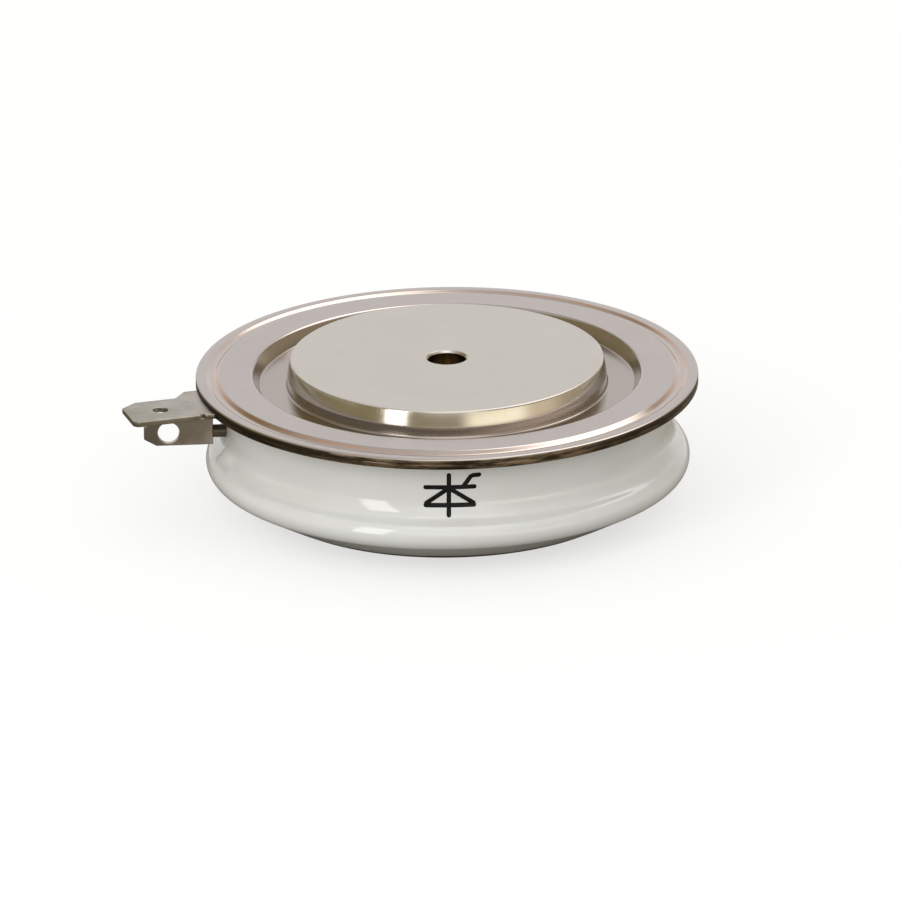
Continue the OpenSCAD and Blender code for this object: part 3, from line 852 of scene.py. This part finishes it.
def gate_place(tabs, axis):
    """Turns and moves what lies on the origin's plane to the gate tab's place."""
    return (Matrix.Rotation(tabs.gate_azimuth, 4, "Z")
            @ Matrix.Translation((0.0, 0.0, tabs.gate_height))
            @ Matrix.Rotation(math.radians(90.0), 4, axis))


def dress(piece, finish):
    """Gives a piece one finish."""
    piece.data.materials.clear()
    piece.data.materials.append(finish)
    return piece


def hand_over(piece, slot, *nodes):
    """Puts a finished piece on its body in place of its solids."""
    if nodes:
        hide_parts(*nodes)
    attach(piece, BODY)


# Operators

class CAPSULE_OT_poles(Operator):
    """Turns the cathode pole and the anode pole"""
    bl_idname = "capsule.poles"
    bl_label = "Turn the poles"

    def execute(self, context):
        capsule = context.scene.capsule
        s, few = capsule.poles, capsule.steps.edge
        finish = material("cathode_pole_finish", satin_nickel, capsule.colours, s.top / MM)
        mouth = s.hole_radius + s.hole_chamfer
        outline = [
            (0.0, s.top - s.hole_depth), (s.hole_radius, s.top - s.hole_depth),
            (s.hole_radius, s.top - s.hole_chamfer, s.hole_edge, few),
            (mouth, s.top, s.mouth_edge, few),
            (s.wall_radius - s.taper, s.top, s.edge_round),
            (s.wall_radius, capsule.rim.top, s.wall_edge, few),
            (s.wall_radius, s.inner + s.edge_round), (s.wall_radius - s.edge_round, s.inner),
            (s.bore_radius, s.inner), (s.bore_radius, s.inner + s.bore_depth),
            (0.0, s.inner + s.bore_depth)]
        pole = turned(context, "turned_cathode_pole", outline, finish)
        half, reach = s.slot_width / 2, s.wall_radius + CUT
        slot = prism("slot", [(0.0, -half), (reach, -half), (reach, half), (0.0, half)],
                     s.inner - CUT, s.inner + s.slot_depth)
        slot.data.transform(Matrix.Rotation(capsule.tabs.gate_azimuth, 4, "Z"))
        combine(pole, slot, "DIFFERENCE")
        hand_over(dress(even_shading(pole), finish), "nickel_plate", "cathode_pole")

        finish = material("anode_pole_finish", satin_nickel, capsule.colours, NO_FACE)
        outline = [
            (0.0, s.hole_depth), (s.hole_radius, s.hole_depth),
            (s.hole_radius, s.hole_chamfer, s.hole_edge, few), (mouth, 0.0, s.mouth_edge, few),
            (s.wall_radius, 0.0, s.edge_round), (s.wall_radius, s.anode_top - s.edge_round),
            (s.wall_radius - s.edge_round, s.anode_top), (0.0, s.anode_top)]
        pole = turned(context, "turned_anode_pole", outline, finish)
        hand_over(even_shading(pole), "nickel_plate", "anode_pole")
        return {"FINISHED"}


class CAPSULE_OT_flanges(Operator):
    """Presses the cathode flange and the anode flange"""
    bl_idname = "capsule.flanges"
    bl_label = "Press the flanges"

    def execute(self, context):
        capsule = context.scene.capsule
        s, many, few = capsule.rim, capsule.steps.sweep, capsule.steps.edge
        bore = capsule.poles.wall_radius
        sheet = s.top - s.seam
        floor = s.top - s.recess
        groove_out = s.radius - s.lip
        groove_in = groove_out - s.groove
        lean = math.tan(s.slope / 2.0)
        high = groove_in - s.band - s.upper_bend * lean
        low = high - (s.recess + s.band_lift) / math.tan(s.slope)
        raised = s.top + s.band_lift
        bottom = s.top - s.groove_depth
        hollow = 0.2 * s.braze
        finish = material("cathode_flange_finish", pressed_sheet, capsule.colours, s.radius / MM,
                          groove_in / MM, groove_out / MM)
        outline = [
            (bore, floor - sheet), (bore, floor + s.braze),
            (bore + hollow, floor + hollow, s.braze), (bore + s.braze, floor),
            (low, floor, s.bend, many), (high, raised, s.upper_bend, many),
            (groove_in - s.band_return, raised, s.groove_round),
            (groove_in + s.groove_slope, bottom, s.groove_round),
            (groove_out - s.groove_slope, bottom, s.groove_round),
            (groove_out, s.top, s.groove_round),
            (s.radius, s.top, s.lip_round), (s.radius, s.seam, s.seam_round),
            (high + sheet * lean, s.seam, s.edge_round),
            (low + sheet * lean, floor - sheet, s.bend + sheet, many),
            (bore + sheet, floor - sheet), (bore + sheet, s.collar_end), (bore, s.collar_end),
            (bore, floor - sheet)]
        flange = turned(context, "pressed_cathode_flange", outline, finish)
        hand_over(even_shading(flange), "flange_sheet", "cathode_flange")

        under, over = lowest("anode_flange"), highest("anode_flange")
        top = capsule.ceramic.foot_height
        collar = bore + top - under.z
        # This flange has no weld groove, so the groove's colours fall inside its bore
        finish = material("anode_flange_finish", pressed_sheet, capsule.colours, over.x / MM,
                          inner=bore / MM - 2.0, outer=bore / MM - 1.0)
        outline = [
            (bore, top), (bore, under.z, s.edge_round, few), (over.x, under.z, s.foot_round, few),
            (over.x, top, s.edge_round, few), (collar, top), (collar, over.z), (bore, over.z),
            (bore, top)]
        flange = turned(context, "pressed_anode_flange", outline, finish)
        hand_over(even_shading(flange), "flange_sheet", "anode_flange")
        return {"FINISHED"}


class CAPSULE_OT_weld_ring(Operator):
    """Stamps the weld ring with the auxiliary tab"""
    bl_idname = "capsule.weld_ring"
    bl_label = "Stamp the weld ring"

    def execute(self, context):
        capsule = context.scene.capsule
        s, t, colours = capsule.rim, capsule.tabs, capsule.colours
        groove_out = s.radius - s.lip
        groove_in = groove_out - s.groove
        start, end = groove_out + s.groove_slope, s.radius + t.aux_length
        finish = material("weld_ring_finish", tab_sheet, colours, colours.tab, colours.tab_dark,
                          s.radius / MM, end_from=end / MM - 1.3, end_tarnish=0.4)
        ceiling = s.land + s.groove_depth
        ring = turned(context, "stamped_weld_ring", [
            (s.ring_bore, s.land), (groove_in, s.land, s.groove_round),
            (groove_in + s.groove_slope, ceiling, s.groove_round),
            (groove_out - s.groove_slope, ceiling, s.groove_round),
            (groove_out, s.land, s.groove_round), (s.radius, s.land, s.ring_round),
            (s.radius, s.seam, s.seam_round), (s.ring_bore, s.seam), (s.ring_bore, s.land)], finish)

        half = t.aux_width / 2
        root, inside = half + t.root_width, half - t.notch_depth
        notch = s.radius + t.notch_start
        tab = prism("tab", [
            (start, -root), (s.radius + t.root_near, -root), (s.radius + t.root_far, -half),
            (end - t.aux_corner, -half), (end, t.aux_corner_width - half),
            (end, half - t.aux_end_corner), (end - t.aux_end_corner, half),
            (notch + t.notch_width, half), (notch + t.notch_width, inside), (notch, inside),
            (notch, half), (start, half)], s.land, s.seam)
        hole = rod(t.aux_hole, s.land - CUT, s.seam + CUT,
                   Matrix.Translation((end - t.aux_hole_inset, 0.0, 0.0)))
        combine(tab, hole, "DIFFERENCE")
        soften(tab, t.soften)
        tab.data.transform(Matrix.Rotation(t.aux_azimuth, 4, "Z"))
        combine(ring, tab, "UNION")
        hand_over(dress(even_shading(ring), finish), "tab_sheet", "weld_ring")
        return {"FINISHED"}


class CAPSULE_OT_ceramic(Operator):
    """Turns the glazed ceramic ring"""
    bl_idname = "capsule.ceramic"
    bl_label = "Turn the ceramic ring"

    def execute(self, context):
        capsule = context.scene.capsule
        s, t, many = capsule.ceramic, capsule.tabs, capsule.steps.sweep
        finish = material("glaze_finish", glazed_ceramic, capsule.colours)
        both = s.flare + s.rib_round
        flare = math.acos(1.0 - (s.rib - s.neck) / both)
        flare_height = s.rib_height + both * math.sin(flare)
        centre = Vector((s.rib - s.rib_round, s.rib_height))
        offset = Vector((s.foot, s.foot_height)) - centre
        taper = math.atan2(offset.y, offset.x) + math.acos(s.rib_round / offset.length)
        middle, half = (flare + taper) / 2, (flare - taper) / 2
        tip = centre + s.rib_round / math.cos(half) * Vector((math.cos(middle), math.sin(middle)))
        land = capsule.rim.land
        ledge = s.neck - s.land_width
        edge = s.edge_round
        ring = turned(context, "glazed_ceramic_ring", [
            (s.bore, s.ledge_height), (s.ledge, s.ledge_height, edge),
            (s.ledge, s.foot_height, edge), (s.foot, s.foot_height, edge),
            (tip.x, tip.y, s.rib_round, 2 * many),
            (s.neck, flare_height - s.flare * math.tan(flare / 2), s.flare, many),
            (s.neck, land, edge), (ledge, land, edge), (ledge, s.mouth),
            (s.bore, s.mouth, edge), (s.bore, s.ledge_height)], finish)
        hole = rod(highest("gate_tube").z - t.gate_height, s.bore - CUT, s.neck + 2 * CUT,
                   gate_place(t, "Y"))
        combine(ring, hole, "DIFFERENCE")
        hand_over(dress(even_shading(ring), finish), "glazed_ceramic", "ceramic_ring")
        return {"FINISHED"}


class CAPSULE_OT_gate_tab(Operator):
    """Stamps the gate tab"""
    bl_idname = "capsule.gate_tab"
    bl_label = "Stamp the gate tab"

    def execute(self, context):
        capsule = context.scene.capsule
        t, colours = capsule.tabs, capsule.colours
        start, end = t.gate_start, t.gate_start + t.gate_length
        finish = material("gate_tab_finish", tab_sheet, colours, colours.gate_tab,
                          colours.gate_tab_dark, start / MM, end_from=start / MM + 4.2,
                          end_tarnish=0.9)
        half, deep = t.gate_width / 2, t.gate_thickness / 2
        side = [(start - t.tongue_length, t.tongue), (start, t.tongue), (start, half),
                (end - t.gate_corner, half), (end, half - t.gate_corner_width)]
        tab = prism("stamped_gate_tab", [(x, -y) for x, y in side] + side[::-1], -deep, deep)
        hole = rod(t.gate_hole, -2 * deep, 2 * deep,
                   Matrix.Translation((end - t.gate_hole_inset, 0.0, 0.0)))
        combine(tab, hole, "DIFFERENCE")
        soften(tab, t.soften)
        tab.data.transform(gate_place(t, "X"))
        hand_over(dress(even_shading(tab), finish), "tab_sheet", "gate_tab")
        return {"FINISHED"}


class CAPSULE_OT_symbol(Operator):
    """Prints the circuit symbol of a thyristor on the glaze"""
    bl_idname = "capsule.symbol"
    bl_label = "Print the symbol"

    def execute(self, context):
        capsule = context.scene.capsule
        s = capsule.printing
        # Both ends of each stroke in millimetres, across and up from the middle of the bar
        strokes = (((0.08, 1.4), (0.03, -2.75)),
                   ((-2.29, 0.0), (2.61, 0.02)),
                   ((-2.29, -1.72), (2.55, -1.72)),
                   ((-2.2, -1.66), (0.16, 0.0)),
                   ((2.46, -1.66), (-0.04, 0.0)),
                   ((1.3, -0.05), (2.2, 1.2)),
                   ((2.05, 1.1), (3.05, 1.17)))
        points = [(x * MM, s.height + z * MM, 0.0) for stroke in strokes for x, z in stroke]
        mesh = bpy.data.meshes.new("printed_symbol")
        mesh.from_pydata(points, [(i, i + 1) for i in range(0, len(points), 2)], [])
        mesh.attributes.new("layer", "FLOAT", "POINT").data.foreach_set(
            "value", [float(i // 2) for i in range(len(points))])
        finish = material("print_finish", printing_ink, capsule.colours)
        symbol = grow(new_object("printed_symbol", mesh), "Printed strokes", {
            "Surface": bpy.data.objects["glazed_ceramic_ring"], "Stroke width": s.stroke,
            "Lift": s.lift, "Finish": finish})
        shape = bmesh.new()
        shape.from_mesh(symbol.data)
        for face in shape.faces:
            if face.normal.y > 0.0:
                face.normal_flip()
        shape.to_mesh(symbol.data)
        shape.free()
        body = symbol.modifiers.new("Ink", "SOLIDIFY")
        body.thickness = s.ink
        body.offset = 1.0
        settle(symbol)
        hand_over(dress(close_up(symbol), finish), None)
        return {"FINISHED"}


class CAPSULE_OT_inside(Operator):
    """Gives the gate tube and the sealed pieces their finishes"""
    bl_idname = "capsule.inside"
    bl_label = "Finish the inner pieces"

    def execute(self, context):
        tube = tuple(context.scene.capsule.colours.tube)
        for name, build, tone, dull, rough, nodes in (
                ("disc_finish", inner_metal, (0.45, 0.44, 0.43), (0.36, 0.35, 0.34), 0.3,
                 ("anode_disc", "cathode_disc")),
                ("wafer_finish", inner_metal, (0.22, 0.24, 0.28), (0.16, 0.18, 0.22), 0.12,
                 ("silicon_wafer",)),
                ("spring_finish", inner_metal, (0.52, 0.51, 0.49), (0.42, 0.41, 0.39), 0.25,
                 ("gate_spring",)),
                ("contact_finish", inner_metal, (0.80, 0.77, 0.70), (0.66, 0.60, 0.48), 0.2,
                 ("gate_contact", "gate_lead")),
                # The tube's dark colours: partly tarnish, partly painted shade under the rim
                ("tube_finish", inner_metal, tube, (0.08, 0.07, 0.055), 0.3, ("gate_tube",)),
                ("coating_finish", inner_polymer, (0.78, 0.78, 0.76), (0.70, 0.70, 0.67), 0.4,
                 ("edge_coating",)),
                ("centring_finish", inner_polymer, (0.62, 0.52, 0.36), (0.54, 0.45, 0.31), 0.45,
                 ("centring_ring",)),
                ("insulator_finish", inner_polymer, (0.80, 0.79, 0.75), (0.72, 0.71, 0.67), 0.4,
                 ("gate_insulator", "lead_sleeve"))):
            for node in nodes:
                dress(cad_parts[node], material(name, build, tone, dull, rough))
        return {"FINISHED"}


# Stage

def mirrored_ray(path):
    """Mask of the rays that metal, glaze and glass send out."""
    return maths("MAXIMUM", path["Is Glossy Ray"], path["Is Transmission Ray"])


def lit_world(scene, strength):
    """A soft studio: white backdrop behind, lit patches above, darker room at the sides."""
    world = bpy.data.worlds.new("Studio")
    scene.world = world
    world.use_nodes = True
    tree = world.node_tree
    tree.nodes.clear()
    way = Placed(tree, "ShaderNodeTexCoord")["Generated"]
    side, ahead, rise = split(way)
    turn = maths("ARCTAN2", ahead, side)
    dome = place("ShaderNodeValToRGB", {0: maths("MULTIPLY_ADD", rise, 0.5, 0.5)})
    stops = ((0.0, (0.20, 0.20, 0.19)), (0.50, (0.34, 0.335, 0.32)), (0.60, (0.50, 0.495, 0.48)),
             (0.80, (0.48, 0.475, 0.46)), (1.0, (0.52, 0.515, 0.50)))
    elements = dome.node.color_ramp.elements
    while len(elements) < len(stops):
        elements.new(0.5)
    for element, (position, rgb) in zip(elements, stops):
        element.position = position
        element.color = opaque(rgb)

    def paint(sky, radiance, mask, *others):
        """Lays one part of the room over the sky."""
        for other in others:
            mask = mask * other
        return blend(mask, sky, [c / strength for c in radiance])

    # Soft light from the front, for all rays
    light = paint(dome[0], (1.35, 1.33, 1.29), towards(turn, FRONT, 0.5, 1.3),
                  ease(rise, 0.08, 0.28), fade(rise, 0.50, 0.80))
    # Horizon, right side, left side and right horizon, as metal shows them
    room = paint(light, (0.467, 0.40, 0.28), fade(rise, 0.11, 0.24))
    room = paint(room, (0.44, 0.375, 0.265), ease(side, 0.25, 0.55), ease(rise, 0.05, 0.15),
                 fade(rise, 0.55, 0.75))
    room = paint(room, (0.35, 0.295, 0.165), fade(side, -0.5, -0.12), fade(rise, 0.60, 0.92))
    room = paint(room, (0.62, 0.52, 0.38), ease(side, 0.2, 0.55), fade(rise, 0.06, 0.18))
    # Cream wall with its bright middle, to the front and right
    for direction, radiance, near, far in ((-0.66, (1.05, 0.89, 0.66), 0.3, 0.75),
                                           (-0.95, (1.8, 1.68, 1.36), 0.22, 0.5)):
        room = paint(room, radiance, towards(turn, direction, near, far), fade(rise, 0.10, 0.25))
    # Low windows on both sides
    for direction in (0.0, math.pi):
        room = paint(room, (0.86, 0.82, 0.74), towards(turn, direction, 0.2, 0.5),
                     ease(rise, 0.06, 0.12), fade(rise, 0.19, 0.27))
    # Lit patches above
    for direction, radiance in (((0.35, 0.42, 0.84), (3.2, 3.15, 3.05)),
                                ((0.06, -0.40, 0.915), (1.8, 1.77, 1.7))):
        above = place("ShaderNodeVectorMath", {0: way, 1: direction},
                      operation="DOT_PRODUCT")["Value"]
        room = paint(room, radiance, ease(above, 0.91, 0.98))
    # White backdrop
    room = paint(room, WHITE, towards(turn, -FRONT, 0.35, 0.75), fade(rise, 0.50, 0.68))
    path = Placed(tree, "ShaderNodeLightPath")
    sky = paint(blend(mirrored_ray(path), light, room), WHITE, path["Is Camera Ray"])
    glow = place("ShaderNodeBackground", {"Color": sky, "Strength": strength})
    place("ShaderNodeOutputWorld", {"Surface": glow[0]})


def floor_finish(shade):
    """Pale floor that keeps the object's shadow."""
    made = bpy.data.materials.new("pale_floor")
    made.use_nodes = True
    tree = made.node_tree
    tree.nodes.clear()
    here = Placed(tree, "ShaderNodeTexCoord")["Object"]
    tint = blend(noise(here, 40.0, 3.0), shade, [0.98 * c for c in shade])
    side, ahead, _ = split(here)
    path = Placed(tree, "ShaderNodeLightPath")
    mirrored = mirrored_ray(path)
    seen = maths("MAXIMUM", path["Is Camera Ray"], mirrored * ease(ahead, 0.03, 0.12))
    room = blend(ease(side, -0.05, 0.06), (0.22, 0.19, 0.13), (0.46, 0.40, 0.31))
    room = blend(mirrored, (0.38, 0.375, 0.36), room)
    plain = place("ShaderNodeBsdfDiffuse", {"Color": blend(seen, room, tint)})
    glow = place("ShaderNodeEmission", {"Color": opaque(WHITE), "Strength": seen * 0.66})
    both = place("ShaderNodeAddShader", {0: plain[0], 1: glow[0]})
    place("ShaderNodeOutputMaterial", {"Surface": both[0]})
    return made


class CAPSULE_OT_stage(Operator):
    """Sets up the floor, the light and the camera"""
    bl_idname = "capsule.stage"
    bl_label = "Set the stage"

    def execute(self, context):
        scene = context.scene
        s = scene.capsule.stage
        scene.view_settings.view_transform = "Standard"
        lit_world(scene, s.sky_strength)

        shape = bmesh.new()
        bmesh.ops.create_circle(shape, cap_ends=True, segments=96, radius=s.floor_radius,
                                matrix=Matrix.Translation((0.0, 0.0, -s.floor_gap)))
        floor = dress(from_shape("floor", shape), floor_finish(s.floor))

        key_way = Vector((-0.563, -0.754, 0.339)).normalized()
        lamp = bpy.data.lights.new("key", "AREA")
        lamp.shape = "RECTANGLE"
        lamp.size, lamp.size_y = s.key_width, s.key_height
        lamp.energy = s.key_radiance * lamp.size * lamp.size_y * math.pi
        key = new_object("key", lamp)
        key.location = key_way * s.key_distance
        key.rotation_euler = key_way.to_track_quat("Z", "Y").to_euler()
        key.visible_camera = False

        view = bpy.data.cameras.new("camera")
        view.sensor_width = 36.0
        view.lens = view.sensor_width * s.distance / s.frame_width
        view.clip_start, view.clip_end = 0.01, 20.0
        camera = new_object("camera", view)
        up = Vector((0.0, math.sin(s.elevation), math.cos(s.elevation)))
        ahead = Vector((0.0, math.cos(s.elevation), -math.sin(s.elevation)))
        target = Vector((s.aim_right, 0.0, scene.capsule.rim.top)) - up * s.aim_down
        camera.matrix_world = (Matrix.Translation(target - ahead * s.distance)
                               @ ahead.to_track_quat("-Z", "Y").to_matrix().to_4x4()
                               @ Matrix.Rotation(-s.roll, 4, "Z"))
        scene.camera = camera
        return {"FINISHED"}


class CAPSULE_PT_panel(Panel):
    """Lists the capsule's settings and steps"""
    bl_label = "Disc thyristor capsule"
    bl_idname = "CAPSULE_PT_panel"
    bl_space_type = "VIEW_3D"
    bl_region_type = "UI"
    bl_category = "Capsule"

    def draw(self, context):
        capsule = context.scene.capsule
        for name in ("poles", "rim", "ceramic", "tabs", "printing", "steps", "colours", "stage"):
            box = self.layout.box()
            box.label(text=name.capitalize())
            group = getattr(capsule, name)
            for key in group.__annotations__:
                box.prop(group, key)
        for operator in OPERATORS:
            self.layout.operator(operator.bl_idname)


GROUPS = (PoleSizes, RimSizes, CeramicSizes, TabSizes, PrintSizes, Steps, Colours, StageSettings,
          CapsuleSettings)
OPERATORS = (CAPSULE_OT_poles, CAPSULE_OT_flanges, CAPSULE_OT_weld_ring, CAPSULE_OT_ceramic,
             CAPSULE_OT_gate_tab, CAPSULE_OT_symbol, CAPSULE_OT_inside, CAPSULE_OT_stage)
CLASSES = (*GROUPS, *OPERATORS, CAPSULE_PT_panel)


def register():
    """Registers the classes and the settings."""
    for item in CLASSES:
        bpy.utils.register_class(item)
    bpy.types.Scene.capsule = PointerProperty(type=CapsuleSettings)


def unregister():
    """Removes the settings and the classes."""
    del bpy.types.Scene.capsule
    for item in reversed(CLASSES):
        bpy.utils.unregister_class(item)


def main():
    """Builds the capsule and its stage."""
    register()
    bpy.ops.capsule.poles()
    bpy.ops.capsule.flanges()
    bpy.ops.capsule.weld_ring()
    bpy.ops.capsule.ceramic()
    bpy.ops.capsule.gate_tab()
    bpy.ops.capsule.symbol()
    bpy.ops.capsule.inside()
    bpy.ops.capsule.stage()


if __name__ == "__main__":
    main()
